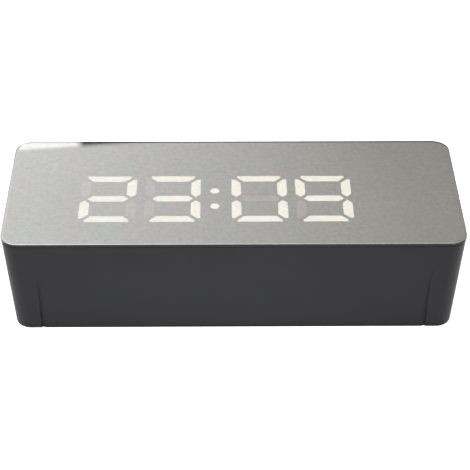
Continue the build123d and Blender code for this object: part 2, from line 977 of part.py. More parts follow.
with BuildPart() as crystal:
    with BuildSketch(Plane.XY.offset(main_board_top)):
        with Locations((crystal_x, crystal_y)):
            SlotOverall(crystal_length, crystal_width)
    extrude(amount=crystal_flange)
    with BuildSketch(Plane.XY.offset(main_board_top + crystal_flange)):
        with Locations((crystal_x, crystal_y)):
            SlotOverall(crystal_length - 2 * crystal_flange, crystal_width - 2 * crystal_flange)
    extrude(amount=crystal_height - crystal_flange)
    chamfer(crystal.faces().sort_by(Axis.Z)[-1].edges(), crystal_flange)
crystal.part.label = "crystal"
export_step(crystal.part, "parts/crystal.step")

with BuildPart() as capacitors:
    # A can with its rolled groove near the foot, turned round its own axis
    for index in range(capacitor_count):
        axis_y = capacitor_y + capacitor_pitch * (index - (capacitor_count - 1) / 2)
        can_plane = Plane(
            origin=(capacitor_x, axis_y, main_board_top), x_dir=(1, 0, 0), z_dir=(0, -1, 0)
        )
        with BuildSketch(can_plane) as profile:
            with Locations((capacitor_radius / 2, capacitor_height / 2)):
                Rectangle(capacitor_radius, capacitor_height)
            with Locations((capacitor_radius, capacitor_groove_height)):
                RegularPolygon(capacitor_groove, 4, mode=Mode.SUBTRACT)
        revolve(profile.sketch, axis=Axis((capacitor_x, axis_y, main_board_top), (0, 0, 1)))
capacitors.part.label = "capacitors"
export_step(capacitors.part, "parts/capacitors.step")

with BuildPart() as buzzer:
    with BuildSketch(Plane.XY.offset(main_board_bottom)):
        with Locations((buzzer_x, buzzer_y)):
            Circle(buzzer_radius)
    extrude(amount=-buzzer_height)
    chamfer(buzzer.faces().sort_by(Axis.Z)[0].edges(), buzzer_edge)
    with BuildSketch(Plane.XY.offset(main_board_bottom - buzzer_height)):
        with Locations((buzzer_x, buzzer_y)):
            Circle(buzzer_mouth_radius)
    extrude(amount=buzzer_mouth_depth, mode=Mode.SUBTRACT)
buzzer.part.label = "buzzer"
export_step(buzzer.part, "parts/buzzer.step")

coin_cell_seat = main_board_top + holder_floor
holder_height = holder_floor + coin_cell_height

with BuildPart() as coin_cell_holder:
    with BuildSketch(Plane.XY.offset(main_board_top)):
        with Locations((holder_x, holder_y)):
            Circle(coin_cell_radius + coin_cell_clearance + holder_wall)
    extrude(amount=holder_height)
    with BuildSketch(Plane.XY.offset(coin_cell_seat)):
        with Locations((holder_x, holder_y)):
            Circle(coin_cell_radius + coin_cell_clearance)
    extrude(amount=coin_cell_height, mode=Mode.SUBTRACT)
coin_cell_holder.part.label = "coin_cell_holder"
export_step(coin_cell_holder.part, "parts/coin_cell_holder.step")

with BuildPart() as coin_cell:
    with BuildSketch(Plane.XY.offset(coin_cell_seat)):
        with Locations((holder_x, holder_y)):
            Circle(coin_cell_radius)
    extrude(amount=coin_cell_height)
    chamfer(coin_cell.faces().sort_by(Axis.Z)[0].edges(), coin_cell_edge)
coin_cell.part.label = "coin_cell"
export_step(coin_cell.part, "parts/coin_cell.step")

with BuildPart() as coin_cell_clip:
    # A strap over the cell, bent down both sides of the holder to the board
    clip_half = coin_cell_radius + coin_cell_clearance + holder_wall + coin_cell_clearance
    clip_top = main_board_top + holder_height
    block(
        around(holder_x, 2 * (clip_half + holder_clip_thickness)),
        around(holder_y, holder_clip_width),
        (main_board_top, clip_top + holder_clip_thickness),
    )
    block(
        around(holder_x, 2 * clip_half),
        around(holder_y, holder_clip_width),
        (main_board_top, clip_top),
        mode=Mode.SUBTRACT,
    )
coin_cell_clip.part.label = "coin_cell_clip"
export_step(coin_cell_clip.part, "parts/coin_cell_clip.step")

with BuildPart() as header_pins:
    block(
        around(header_x, header_length),
        around(header_y, header_base_width),
        (main_board_top, main_board_top + header_base_height),
    )
    for index in range(header_pin_count):
        block(
            around(header_x + header_pin_pitch * (index - (header_pin_count - 1) / 2), header_pin_size),
            around(header_y, header_pin_size),
            (main_board_top, display_board_bottom - header_pin_gap),
        )
header_pins.part.label = "header_pins"
export_step(header_pins.part, "parts/header_pins.step")

with BuildPart() as header_socket:
    block(
        around(header_x, header_length),
        around(header_y, header_width),
        (display_board_bottom - socket_height, display_board_bottom),
    )
    block(
        around(header_x, socket_slot_length),
        around(header_y, socket_slot_width),
        (display_board_bottom - socket_height, display_board_bottom - socket_roof),
        mode=Mode.SUBTRACT,
    )
header_socket.part.label = "header_socket"
export_step(header_socket.part, "parts/header_socket.step")

# Power jack: a square face, a round barrel on a flat foot, and its centre pin

jack_face_x = inner_half_length(main_board_top) - jack_gap

with BuildPart() as power_jack:
    block(
        (jack_face_x - jack_face_length, jack_face_x),
        around(jack_y, jack_width),
        (main_board_top, main_board_top + jack_height),
    )
    block(
        (jack_face_x - jack_length, jack_face_x),
        around(jack_y, 2 * jack_round_radius),
        (main_board_top, jack_axis_z),
    )
    with BuildSketch(Plane.YZ.offset(jack_face_x)):
        with Locations((jack_y, jack_axis_z)):
            Circle(jack_round_radius)
    extrude(amount=-jack_length)
    with BuildSketch(Plane.YZ.offset(jack_face_x)):
        with Locations((jack_y, jack_axis_z)):
            Circle(jack_bore_radius)
    extrude(amount=-jack_bore_depth, mode=Mode.SUBTRACT)
power_jack.part.label = "power_jack"
export_step(power_jack.part, "parts/power_jack.step")

with BuildPart() as jack_pin:
    with BuildSketch(Plane.YZ.offset(jack_face_x - jack_bore_depth)):
        with Locations((jack_y, jack_axis_z)):
            Circle(jack_pin_radius)
    extrude(amount=jack_pin_length)
    chamfer(jack_pin.faces().sort_by(Axis.X)[-1].edges(), jack_pin_radius / 2)
jack_pin.part.label = "jack_pin"
export_step(jack_pin.part, "parts/jack_pin.step")

with BuildPart() as temperature_sensor:
    sensor_x = inner_half_length(main_board_top) - sensor_wall_gap
    with Locations((sensor_x, sensor_y, vent_z)):
        Sphere(sensor_radius)
    for side in (-1, 1):
        block(
            around(sensor_x, sensor_lead_size),
            around(sensor_y + side * sensor_lead_spacing / 2, sensor_lead_size),
            (main_board_top, vent_z),
        )
temperature_sensor.part.label = "temperature_sensor"
export_step(temperature_sensor.part, "parts/temperature_sensor.step")

# Key board with its switches, parallel to the top side, and its header to the main board

with BuildPart() as key_board:
    with BuildSketch(far_side.offset(-key_board_front)):
        with Locations((-(key_board_left_x + key_board_right_x) / 2, 0)):
            Rectangle(key_board_right_x - key_board_left_x, key_board_height)
    extrude(amount=-key_board_thickness)
key_board.part.label = "key_board"
export_step(key_board.part, "parts/key_board.step")


def switches(places):
    """Square push switches on the key board, each with a hole for its plunger."""
    with BuildPart() as bodies:
        with BuildSketch(far_side.offset(-key_board_front)):
            with Locations(*[(-x, 0) for x in places]):
                Rectangle(switch_size, switch_size)
        extrude(amount=switch_height)
        with BuildSketch(far_side.offset(-switch_front)):
            with Locations(*[(-x, 0) for x in places]):
                Rectangle(
                    plunger_size + 2 * plunger_clearance, plunger_size + 2 * plunger_clearance
                )
        extrude(amount=-plunger_hole_depth, mode=Mode.SUBTRACT)
    return bodies


snooze_switch = switches([snooze_x])
snooze_switch.part.label = "snooze_switch"
export_step(snooze_switch.part, "parts/snooze_switch.step")

key_switches = switches(key_places)
key_switches.part.label = "key_switches"
export_step(key_switches.part, "parts/key_switches.step")

with BuildPart() as key_header:
    far_edge_y = main_board_y + main_board_width / 2
    pin_plane = far_side.offset(-key_board_back)
    pin_rise = (main_board_top + header_base_height / 3 - pin_plane.origin.Z) / pin_plane.y_dir.Z
    pin_start = pin_plane.from_local_coords((0, pin_rise, 0))
    block(
        around(key_header_x, key_header_length),
        (far_edge_y - header_base_width, far_edge_y),
        (main_board_top, main_board_top + header_base_height),
    )
    with BuildSketch(pin_plane):
        for index in range(key_header_pin_count):
            place = key_header_x + header_pin_pitch * (index - (key_header_pin_count - 1) / 2)
            with Locations((-place, pin_rise)):
                Rectangle(header_pin_size, header_pin_size)
    extrude(amount=-(pin_start.Y - far_edge_y + header_base_width / 2))
key_header.part.label = "key_header"
export_step(key_header.part, "parts/key_header.step")

# Keys: a pill-shaped cap with a flange behind the wall and a nib on its switch's plunger


def push_key(centre_x, length, width):
    """One key, drawn on planes parallel to the top side."""
    with BuildPart() as key:
        with BuildSketch(far_side.offset(key_proud)):
            with Locations((-centre_x, 0)):
                SlotOverall(length, width)
        extrude(amount=-(key_proud + flange_front))
        fillet(key.faces().sort_by(Axis.Y)[-1].edges(), key_edge_radius)
        with BuildSketch(far_side.offset(-flange_front)):
            with Locations((-centre_x, 0)):
                SlotOverall(length + 2 * flange_margin, width + 2 * flange_margin)
        extrude(amount=-flange_thickness)
        with BuildSketch(far_side.offset(-flange_back)):
            with Locations((-centre_x, 0)):
                Rectangle(nib_size, nib_size)
        extrude(amount=-nib_height)
    return key


def plunger(centre_x):
    """Square plunger of a switch, touching the nib of its key."""
    with BuildPart() as stem:
        with BuildSketch(far_side.offset(-plunger_tip)):
            with Locations((-centre_x, 0)):
                Rectangle(plunger_size, plunger_size)
        extrude(amount=-plunger_length)
    return stem


snooze_bar = push_key(snooze_x, snooze_length, snooze_width)
snooze_bar.part.label = "snooze_bar"
export_step(snooze_bar.part, "parts/snooze_bar.step")

snooze_plunger = plunger(snooze_x)
snooze_plunger.part.label = "snooze_plunger"
export_step(snooze_plunger.part, "parts/snooze_plunger.step")

for name, centre_x in zip(key_names, key_places):
    small_key = push_key(centre_x, small_key_length, small_key_width)
    small_key.part.label = f"{name}_key"
    export_step(small_key.part, f"parts/{name}_key.step")
    key_plunger = plunger(centre_x)
    key_plunger.part.label = f"{name}_plunger"
    export_step(key_plunger.part, f"parts/{name}_plunger.step")
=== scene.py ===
# %% [markdown]
# # A desk clock with a mirrored face
#
# The clock lies on its back. A drafted black case holds a mirrored panel, and large digits
# shine through the panel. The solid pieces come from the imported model. This lesson gives them
# their finishes, remakes the face panel as a surface of its own, and sets up the studio.
#
# Everything is in metres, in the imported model's own frame: +Z comes out of the face, -Y is the
# side under the feet of the digits, and +X runs to the right of the digits.

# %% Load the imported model
import json
import math

import bpy
import numpy as np
from mathutils import Matrix, Vector


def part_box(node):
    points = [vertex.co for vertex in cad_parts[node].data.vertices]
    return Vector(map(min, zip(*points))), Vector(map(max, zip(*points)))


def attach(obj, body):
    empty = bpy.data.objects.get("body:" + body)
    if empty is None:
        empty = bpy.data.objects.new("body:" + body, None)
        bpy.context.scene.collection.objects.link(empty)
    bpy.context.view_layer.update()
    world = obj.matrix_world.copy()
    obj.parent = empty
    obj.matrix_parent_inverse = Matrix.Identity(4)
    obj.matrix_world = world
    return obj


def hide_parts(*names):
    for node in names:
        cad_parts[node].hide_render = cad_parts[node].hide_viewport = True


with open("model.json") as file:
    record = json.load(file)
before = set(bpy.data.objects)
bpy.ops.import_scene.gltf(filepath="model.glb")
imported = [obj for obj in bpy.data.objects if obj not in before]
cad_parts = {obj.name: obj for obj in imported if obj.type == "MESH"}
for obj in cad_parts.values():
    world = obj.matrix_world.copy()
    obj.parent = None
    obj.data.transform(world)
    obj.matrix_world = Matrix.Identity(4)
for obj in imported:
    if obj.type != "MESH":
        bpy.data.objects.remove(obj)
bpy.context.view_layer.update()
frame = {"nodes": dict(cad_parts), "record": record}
nodes = frame["nodes"]
scene = bpy.context.scene

# %% [markdown]
# ## The camera
#
# The photograph was taken from above the near side with a long lens. The place, the tilt and
# the focal length below were worked out from the corners of the panel, the case and the digits
# in the picture. A camera looks along its own -Z, so its matrix has the right, up and backward
# directions as columns.

# %% Photograph's camera
PICTURE_SIZE = 470
FOCAL_PIXELS = 1571.41
CAMERA_PLACE = Vector((-0.006178, -0.54356, 0.427699))
CAMERA_PITCH = math.radians(36.6894)
CAMERA_YAW = math.radians(0.7347)
CAMERA_ROLL = math.radians(0.2543)
SENSOR_WIDTH = 36.0

forward = Vector((
    math.sin(CAMERA_YAW) * math.cos(CAMERA_PITCH),
    math.cos(CAMERA_YAW) * math.cos(CAMERA_PITCH),
    -math.sin(CAMERA_PITCH),
))
level = Vector((math.cos(CAMERA_YAW), -math.sin(CAMERA_YAW), 0.0))
upright = level.cross(forward)
rightward = level * math.cos(CAMERA_ROLL) + upright * math.sin(CAMERA_ROLL)
upward = rightward.cross(forward)
camera_data = bpy.data.cameras.new("photo_camera")
camera_data.sensor_width = SENSOR_WIDTH
camera_data.lens = FOCAL_PIXELS / PICTURE_SIZE * SENSOR_WIDTH
camera = bpy.data.objects.new("photo_camera", camera_data)
camera.matrix_world = Matrix.Translation(CAMERA_PLACE) @ Matrix(
    (rightward, upward, -forward)
).transposed().to_4x4()
scene.collection.objects.link(camera)
scene.camera = camera
scene.view_settings.view_transform = "Standard"
print("lens mm:", round(camera_data.lens, 2))

# %% [markdown]
# ## Helpers for shader nodes
#
# A shader in Blender is a graph of small nodes. It can be drawn by hand in the Shader Editor,
# but in a script a few short helpers let each recipe read like a formula. Each one adds a node
# to a graph, links what it is given, and returns the output. A helper takes numbers and colours
# as well as links, and puts those straight on the socket.

# %% Node helpers
# In a Mix node set to colours, sockets 6 and 7 are the two colours and output 2 is the result.
MIX_FIRST = 6
MIX_SECOND = 7
MIX_RESULT = 2


def axes(tree, kind="Object"):
    """X, Y and Z of the shaded point, or with Generated in a world, of the direction."""
    place = tree.nodes.new("ShaderNodeTexCoord")
    split = tree.nodes.new("ShaderNodeSeparateXYZ")
    tree.links.new(place.outputs[kind], split.inputs[0])
    return split.outputs


def ranged(tree, value, start, stop, low, high):
    """Straight line from low, where value is start, to high, where it is stop; flat outside."""
    node = tree.nodes.new("ShaderNodeMapRange")
    node.inputs["From Min"].default_value = start
    node.inputs["From Max"].default_value = stop
    node.inputs["To Min"].default_value = low
    node.inputs["To Max"].default_value = high
    tree.links.new(value, node.inputs["Value"])
    return node.outputs["Result"]


def spread(tree, value, low, high):
    """Stretches a 0 to 1 pattern to the range low to high."""
    return ranged(tree, value, 0.0, 1.0, low, high)


def maths(tree, kind, *values):
    """One operation on links or plain numbers."""
    node = tree.nodes.new("ShaderNodeMath")
    node.operation = kind
    for socket, value in zip(node.inputs, values):
        if isinstance(value, float):
            socket.default_value = value
        else:
            tree.links.new(value, socket)
    return node.outputs[0]


def product(tree, first, *others):
    """All the values multiplied together."""
    for other in others:
        first = maths(tree, "MULTIPLY", first, other)
    return first


def between(tree, value, rise, fall):
    """1 between two soft borders and 0 outside; each border is a pair of values."""
    return product(tree, ranged(tree, value, *rise, 0.0, 1.0), ranged(tree, value, *fall, 1.0, 0.0))


def mixed(tree, share, first, second):
    """Colour that goes from first to second as the share goes from 0 to 1."""
    node = tree.nodes.new("ShaderNodeMix")
    node.data_type = "RGBA"
    tree.links.new(share, node.inputs[0])
    for number, colour in ((MIX_FIRST, first), (MIX_SECOND, second)):
        if isinstance(colour, tuple):
            node.inputs[number].default_value = (*colour, 1.0)
        else:
            tree.links.new(colour, node.inputs[number])
    return node.outputs[MIX_RESULT]


def dimmed(tree, colour, factor):
    """A linked colour times a linked number."""
    node = tree.nodes.new("ShaderNodeVectorMath")
    node.operation = "SCALE"
    tree.links.new(colour, node.inputs[0])
    tree.links.new(factor, node.inputs["Scale"])
    return node.outputs[0]


print("helpers ready")

# %% [markdown]
# ## The studio
#
# A mirror shows what stands round it, so the surroundings decide how the face looks. The
# photograph's face runs smoothly from light grey at the left to a warmer mid grey at the right.
# Real walls and cards could be built, but a world shader is simpler: it knows only the
# direction it is asked about, and for a distant room that is enough. Its light falls from left
# to right, and it falls faster in the low directions that the far edge of the face mirrors.

# %% World light from left to right
# Each row is a direction's X, then the light that comes from there.
LIGHT_BY_DIRECTION = [
    (-1.00, (0.74, 0.74, 0.74)),
    (-0.22, (0.92, 0.93, 0.905)),
    (-0.14, (0.843, 0.846, 0.815)),
    (0.13, (0.436, 0.419, 0.388)),
    (0.25, (0.36, 0.345, 0.32)),
    (1.00, (0.62, 0.61, 0.60)),
]
FALL_MIDDLE = 0.02
FAR_SQUEEZE = 1.35
FAR_HEIGHTS = (0.548, 0.58)

world = bpy.data.worlds.new("studio")
scene.world = world
world.use_nodes = True
room = world.node_tree
heading = axes(room, "Generated")
ramp = room.nodes.new("ShaderNodeValToRGB")
stops = ramp.color_ramp.elements
while len(stops) < len(LIGHT_BY_DIRECTION):
    stops.new(0.5)
for stop, (x, light) in zip(stops, LIGHT_BY_DIRECTION):
    stop.position = (x + 1) / 2
    stop.color = (*light, 1.0)
squeeze = ranged(room, heading["Z"], *FAR_HEIGHTS, FAR_SQUEEZE, 1.0)
across = product(room, maths(room, "SUBTRACT", heading["X"], FALL_MIDDLE), squeeze)
along_ramp = ranged(room, across, -1.0 - FALL_MIDDLE, 1.0 - FALL_MIDDLE, 0.0, 1.0)
room.links.new(along_ramp, ramp.inputs["Fac"])
print("world stops:", [round(stop.position, 3) for stop in stops])

# %% [markdown]
# ## What the edges mirror
#
# Four more things in the room show only along the panel's eased edge and in its far left
# corner. A bright band runs where the walls meet the ceiling. The room is dark low down behind
# the clock. A white card stands there at the left, and a dark screen beside it. Each one is a
# region of directions with soft borders. The camera itself looks at a plain white backdrop.

# %% Bright band, dark low wall, white card and dark screen
COVE_LIFT = 1.55
COVE_START = (0.80, 0.88)
COVE_END = (0.94, 0.98)
BEHIND = (0.35, 0.65)
LOW_WALL_LEVEL = 0.2
LOW_WALL_TOP = (0.36, 0.46)
CARD_COLOUR = (1.3845, 1.42, 1.349)
CARD_LEFT = (-0.24, -0.20)
CARD_RIGHT = (-0.0903, -0.0853)
CARD_FOOT = (0.32, 0.38)
CARD_TOP = (0.5483, 0.5499)
SCREEN_LEVEL = 0.10
SCREEN_RIGHT = (-0.075, -0.03)
SCREEN_TOP = (0.5475, 0.5499)
BACKDROP_COLOUR = (1.0, 1.0, 1.0)

behind = ranged(room, heading["Y"], *BEHIND, 0.0, 1.0)
cove = between(room, heading["Z"], COVE_START, COVE_END)
low = ranged(room, heading["Z"], *LOW_WALL_TOP, 1.0, 0.0)
card_width = between(room, heading["X"], CARD_LEFT, CARD_RIGHT)
card_height = between(room, heading["Z"], CARD_FOOT, CARD_TOP)
card = product(room, card_width, card_height, behind)
screen_width = between(room, heading["X"], CARD_LEFT, SCREEN_RIGHT)
screen_height = ranged(room, heading["Z"], *SCREEN_TOP, 1.0, 0.0)
screen = product(room, screen_width, screen_height, behind)
room_level = product(
    room,
    spread(room, cove, 1.0, COVE_LIFT),
    spread(room, product(room, low, behind), 1.0, LOW_WALL_LEVEL),
    spread(room, screen, 1.0, SCREEN_LEVEL),
)
lit_room = mixed(room, card, dimmed(room, ramp.outputs["Color"], room_level), CARD_COLOUR)
ray = room.nodes.new("ShaderNodeLightPath")
seen = mixed(room, ray.outputs["Is Camera Ray"], lit_room, BACKDROP_COLOUR)
room.links.new(seen, room.nodes["Background"].inputs["Color"])
print("world nodes:", len(room.nodes))

# %% [markdown]
# ## Helpers for finishes
#
# Every finish starts from one Principled shader. The helpers below keep each recipe short:
# one makes the material, one makes a noise on the object's own coordinates in metres, and one
# turns a pattern into a shallow bump.


# %% Finish helpers
def new_finish(name, colour, roughness, metallic=0.0):
    """Material with one Principled shader; returns the material, its tree and the shader."""
    material = bpy.data.materials.new(name)
    material.use_nodes = True
    tree = material.node_tree
    shader = tree.nodes["Principled BSDF"]
    shader.inputs["Base Color"].default_value = (*colour, 1.0)
    shader.inputs["Roughness"].default_value = roughness
    shader.inputs["Metallic"].default_value = metallic
    material.diffuse_color = (*colour, 1.0)
    return material, tree, shader


def object_noise(tree, scale, detail=2.0):
    """Noise on Object coordinates: scale is in waves per metre."""
    place = tree.nodes.new("ShaderNodeTexCoord")
    noise = tree.nodes.new("ShaderNodeTexNoise")
    noise.inputs["Scale"].default_value = scale
    noise.inputs["Detail"].default_value = detail
    tree.links.new(place.outputs["Object"], noise.inputs["Vector"])
    return noise.outputs["Fac"]


def bump(tree, shader, value, height):
    """Shallow relief: height is how far the pattern's full range stands out, in metres."""
    node = tree.nodes.new("ShaderNodeBump")
    node.inputs["Distance"].default_value = height
    tree.links.new(value, node.inputs["Height"])
    tree.links.new(node.outputs["Normal"], shader.inputs["Normal"])


def tinted(colour, *factors):
    """Colour with each of its parts times its factor."""
    return tuple(part * factor for part, factor in zip(colour, factors))


finishes = {}
print("finish helpers ready")

# %% [markdown]
# ## Case plastic
#
# The case is moulded in charcoal plastic with a fine spark-eroded texture. It is dark, with a
# soft sheen that grows towards the edges of sight. A fine noise makes the texture's relief and
# shade. A broad one varies the shade and the sheen a little, as on any moulding, because an
# even black looks like paper in a render.

# %% Moulded black
GRAIN_WAVES = 2600.0
GRAIN_RELIEF = 0.000012
GRAIN_SHADE = 0.14
MOTTLE_WAVES = 60.0
MOTTLE_DETAIL = 3.0
MOTTLE_SHADE = (0.78, 1.22)
MOTTLE_SHEEN = 0.04
PLAIN_GLOSS = 0.5
TAPE_WAVES = 900.0
TAPE_RELIEF = 0.00004


def moulded_black(name, colour, roughness, waves=GRAIN_WAVES, relief=GRAIN_RELIEF, gloss=PLAIN_GLOSS):
    """Moulding: a fine grain in its shade and relief, a broad mottle in its shade and sheen."""
    material, tree, shader = new_finish(name, colour, roughness)
    shader.inputs["Specular IOR Level"].default_value = gloss
    grain = object_noise(tree, waves)
    mottle = object_noise(tree, MOTTLE_WAVES, MOTTLE_DETAIL)
    sheen = spread(tree, mottle, roughness - MOTTLE_SHEEN, roughness + MOTTLE_SHEEN)
    tree.links.new(sheen, shader.inputs["Roughness"])
    darker = tinted(colour, *[1.0 - GRAIN_SHADE] * 3)
    lighter = tinted(colour, *[1.0 + GRAIN_SHADE] * 3)
    shade = dimmed(tree, mixed(tree, grain, darker, lighter), spread(tree, mottle, *MOTTLE_SHADE))
    tree.links.new(shade, shader.inputs["Base Color"])
    bump(tree, shader, grain, relief)
    return material


finishes["case_plastic"] = moulded_black("case_plastic", (0.0116, 0.0120, 0.0144), 0.42, gloss=0.23)
finishes["key_plastic"] = moulded_black("key_plastic", (0.016, 0.0165, 0.018), 0.36, gloss=0.35)
finishes["panel_edge"] = moulded_black("panel_edge", (0.015, 0.0155, 0.017), 0.42, gloss=0.25)
finishes["display_black"] = moulded_black("display_black", (0.010, 0.010, 0.011), 0.6)
finishes["connector_black"] = moulded_black("connector_black", (0.012, 0.012, 0.012), 0.45)
finishes["jack_black"] = moulded_black("jack_black", (0.011, 0.011, 0.011), 0.35)
finishes["chip_black"] = moulded_black("chip_black", (0.016, 0.016, 0.018), 0.5)
finishes["buzzer_black"] = moulded_black("buzzer_black", (0.011, 0.011, 0.012), 0.3)
finishes["switch_body"] = moulded_black("switch_body", (0.02, 0.02, 0.02), 0.4)
finishes["switch_plunger"] = moulded_black("switch_plunger", (0.3, 0.3, 0.3), 0.45)
finishes["tape_black"] = moulded_black("tape_black", (0.008, 0.008, 0.008), 0.85, TAPE_WAVES, TAPE_RELIEF)
finishes["capacitor_can"] = moulded_black("capacitor_can", (0.02, 0.024, 0.05), 0.3)
finishes["led_body"] = moulded_black("led_body", (0.75, 0.66, 0.30), 0.3)
finishes["sensor_bead"] = moulded_black("sensor_bead", (0.05, 0.018, 0.008), 0.25)
print("mouldings:", len(finishes))

# %% [markdown]
# ## Painted shade in the witness lines
#
# Two shallow grooves run up the near side, where the moulding tool's parts met. The grooves are
# in the model, but they hold less shadow in a render than in a real case. So a painted shade
# darkens the case's colour along each line. It is worked out from the point's own place, so it
# stays sharp at any size.

# %% Witness line painted shade
LINE_X = 0.0802
LINE_FLARE = 0.0014
LINE_BEND = 0.0255
LINE_TOP = 0.033
LINE_WIDTH = (0.0003, 0.001)
LINE_FADE = (0.014, LINE_TOP + 0.001)
PAINTED_LINE_SHADE = 0.45
NEAR_SIDE = (-0.031, -0.029)


def paint_witness_line_shade(material):
    """Darkens the two moulded lines under the face.

    A point's distance from a line is its X without sign, less the line's own X at that height.
    The painted shade is full within 0.3 mm, gone at 1 mm, and fades out towards the line's top end.
    """
    tree = material.node_tree
    shader = tree.nodes["Principled BSDF"]
    point = axes(tree)
    line_x = ranged(tree, point["Z"], LINE_BEND, LINE_TOP, LINE_X, LINE_X + LINE_FLARE)
    away = maths(tree, "ABSOLUTE", maths(tree, "SUBTRACT", maths(tree, "ABSOLUTE", point["X"]), line_x))
    # Painted shade: how strongly the case's own colour is darkened at this point of the groove.
    shaded = product(
        tree,
        ranged(tree, away, *LINE_WIDTH, 1.0, 0.0),
        ranged(tree, point["Z"], *LINE_FADE, 1.0, 0.0),
        ranged(tree, point["Y"], *NEAR_SIDE, 1.0, 0.0),
    )
    plain_colour = shader.inputs["Base Color"].links[0].from_socket
    shade = dimmed(tree, plain_colour, spread(tree, shaded, 1.0, 1.0 - PAINTED_LINE_SHADE))
    tree.links.new(shade, shader.inputs["Base Color"])


paint_witness_line_shade(finishes["case_plastic"])
print("witness lines at X mm:", LINE_X * 1000)

# %% [markdown]
# ## Mirrored panel
#
# The face is a clear sheet with a thin metal coat, which reflects most of the light and lets
# the digits through. Glass with a mirror behind it would be slow and noisy to render. A metal
# shader with a part alpha does both jobs. The coat has a fine grain, broad faint patches of
# rose and green, and a ripple as shallow as orange peel. The coat is on top only, so the
# underside is nearly clear, and the border round it is dark.

# %% Half mirror and clear underside
MIRROR_COLOUR = (0.93, 0.93, 0.93)
MIRROR_ROUGHNESS = 0.012
MIRROR_ALPHA = 0.72
COAT_WAVES = 620.0
COAT_DETAIL = 3.0
COAT_SHADE = (0.86, 1.14)
PATCH_WAVES = 95.0
ROSE_FACTORS = (1.05, 0.98, 1.01)
GREEN_FACTORS = (0.95, 1.02, 0.99)
PEEL_WAVES = 110.0
PEEL_HEIGHT = 0.0000012
CLEAR_ALPHA = 0.02
CLEAR_COLOUR = (0.02, 0.02, 0.02)
CLEAR_WAVES = 300.0
CLEAR_SHEEN = (0.26, 0.34)


def half_mirror(name):
    """Metal coat: a fine grain of light and dark, broad patches of rose and green, orange peel."""
    material, tree, shader = new_finish(name, MIRROR_COLOUR, MIRROR_ROUGHNESS, 1.0)
    shader.inputs["Alpha"].default_value = MIRROR_ALPHA
    grain = object_noise(tree, COAT_WAVES, COAT_DETAIL)
    patches = object_noise(tree, PATCH_WAVES)
    rose = tinted(MIRROR_COLOUR, *ROSE_FACTORS)
    green = tinted(MIRROR_COLOUR, *GREEN_FACTORS)
    shade = dimmed(tree, mixed(tree, patches, rose, green), spread(tree, grain, *COAT_SHADE))
    tree.links.new(shade, shader.inputs["Base Color"])
    bump(tree, shader, object_noise(tree, PEEL_WAVES, 0.0), PEEL_HEIGHT)
    return material


def clear_underside(name):
    """Uncoated back of the sheet: almost all light passes it, and it has no gloss."""
    material, tree, shader = new_finish(name, CLEAR_COLOUR, sum(CLEAR_SHEEN) / 2)
    shader.inputs["Alpha"].default_value = CLEAR_ALPHA
    shader.inputs["Specular IOR Level"].default_value = 0.0
    sheen = spread(tree, object_noise(tree, CLEAR_WAVES), *CLEAR_SHEEN)
    tree.links.new(sheen, shader.inputs["Roughness"])
    return material


finishes["half_mirror"] = half_mirror("half_mirror")
finishes["clear_underside"] = clear_underside("clear_underside")
print("coat alpha:", MIRROR_ALPHA)

# %% [markdown]
# ## Segment lenses
#
# A lit lens glows warm white. What the eye sees is the glow through the coat plus what the
# coat mirrors, and the mirrored room gets darker towards the right. The photograph's digits
# are nearly even, so the glow rises from left to right to make up for it. The two dots of the
# colon have a stronger glow of their own. An unlit lens is milky, and shows through the mirror
# only as a faint ghost.

# %% Lit and unlit lenses
LENS_COLOUR = (0.9, 0.87, 0.8)
LENS_ROUGHNESS = 0.35
LIT_COLOUR = (1.0, 0.968, 0.83)
LIT_LEFT = 0.72
LIT_RIGHT = 1.25
LIT_REACH = 0.066
COLON_LIFT = 1.25
UNLIT_COLOUR = (0.30, 0.24, 0.23)
UNLIT_ROUGHNESS = 0.4
HAZE_WAVES = 140.0
HAZE_DARK = (0.28, 0.22, 0.21)
HAZE_LIGHT = (0.33, 0.27, 0.255)
colon_low, colon_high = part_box("colon_lenses")
COLON_X = (colon_low[0] + colon_high[0]) / 2
COLON_HALF = (colon_high[0] - colon_low[0]) / 2


def lit_lens(name):
    """Glow that rises with the point's X, and is lifted where X is within the colon's width."""
    material, tree, shader = new_finish(name, LENS_COLOUR, LENS_ROUGHNESS)
    shader.inputs["Emission Color"].default_value = (*LIT_COLOUR, 1.0)
    point = axes(tree)
    rise = ranged(tree, point["X"], -LIT_REACH, LIT_REACH, LIT_LEFT, LIT_RIGHT)
    in_colon = maths(tree, "COMPARE", point["X"], COLON_X, COLON_HALF)
    glow = product(tree, rise, spread(tree, in_colon, 1.0, COLON_LIFT))
    tree.links.new(glow, shader.inputs["Emission Strength"])
    return material


def dark_lens(name):
    """Milky plastic with a faint haze."""
    material, tree, shader = new_finish(name, UNLIT_COLOUR, UNLIT_ROUGHNESS)
    haze = mixed(tree, object_noise(tree, HAZE_WAVES), HAZE_DARK, HAZE_LIGHT)
    tree.links.new(haze, shader.inputs["Base Color"])
    return material


finishes["lens_lit"] = lit_lens("lens_lit")
finishes["lens_dark"] = dark_lens("lens_dark")
print("colon at X mm:", round(COLON_X * 1000, 2))

# %% [markdown]
# ## Plated metals
#
# The small metal parts inside are rolled, drawn or plated. Brushed metal can be made with the
# shader's anisotropy, but at this size a long, stretched noise is enough: it varies the
# roughness and gives the faint lines of rolling.

# %% Plated metals
ROLLING_WAVES = (60.0, 2200.0, 2200.0)
ROLLING_SHEEN = (-0.08, 0.12)
ROLLING_RELIEF = 0.000004


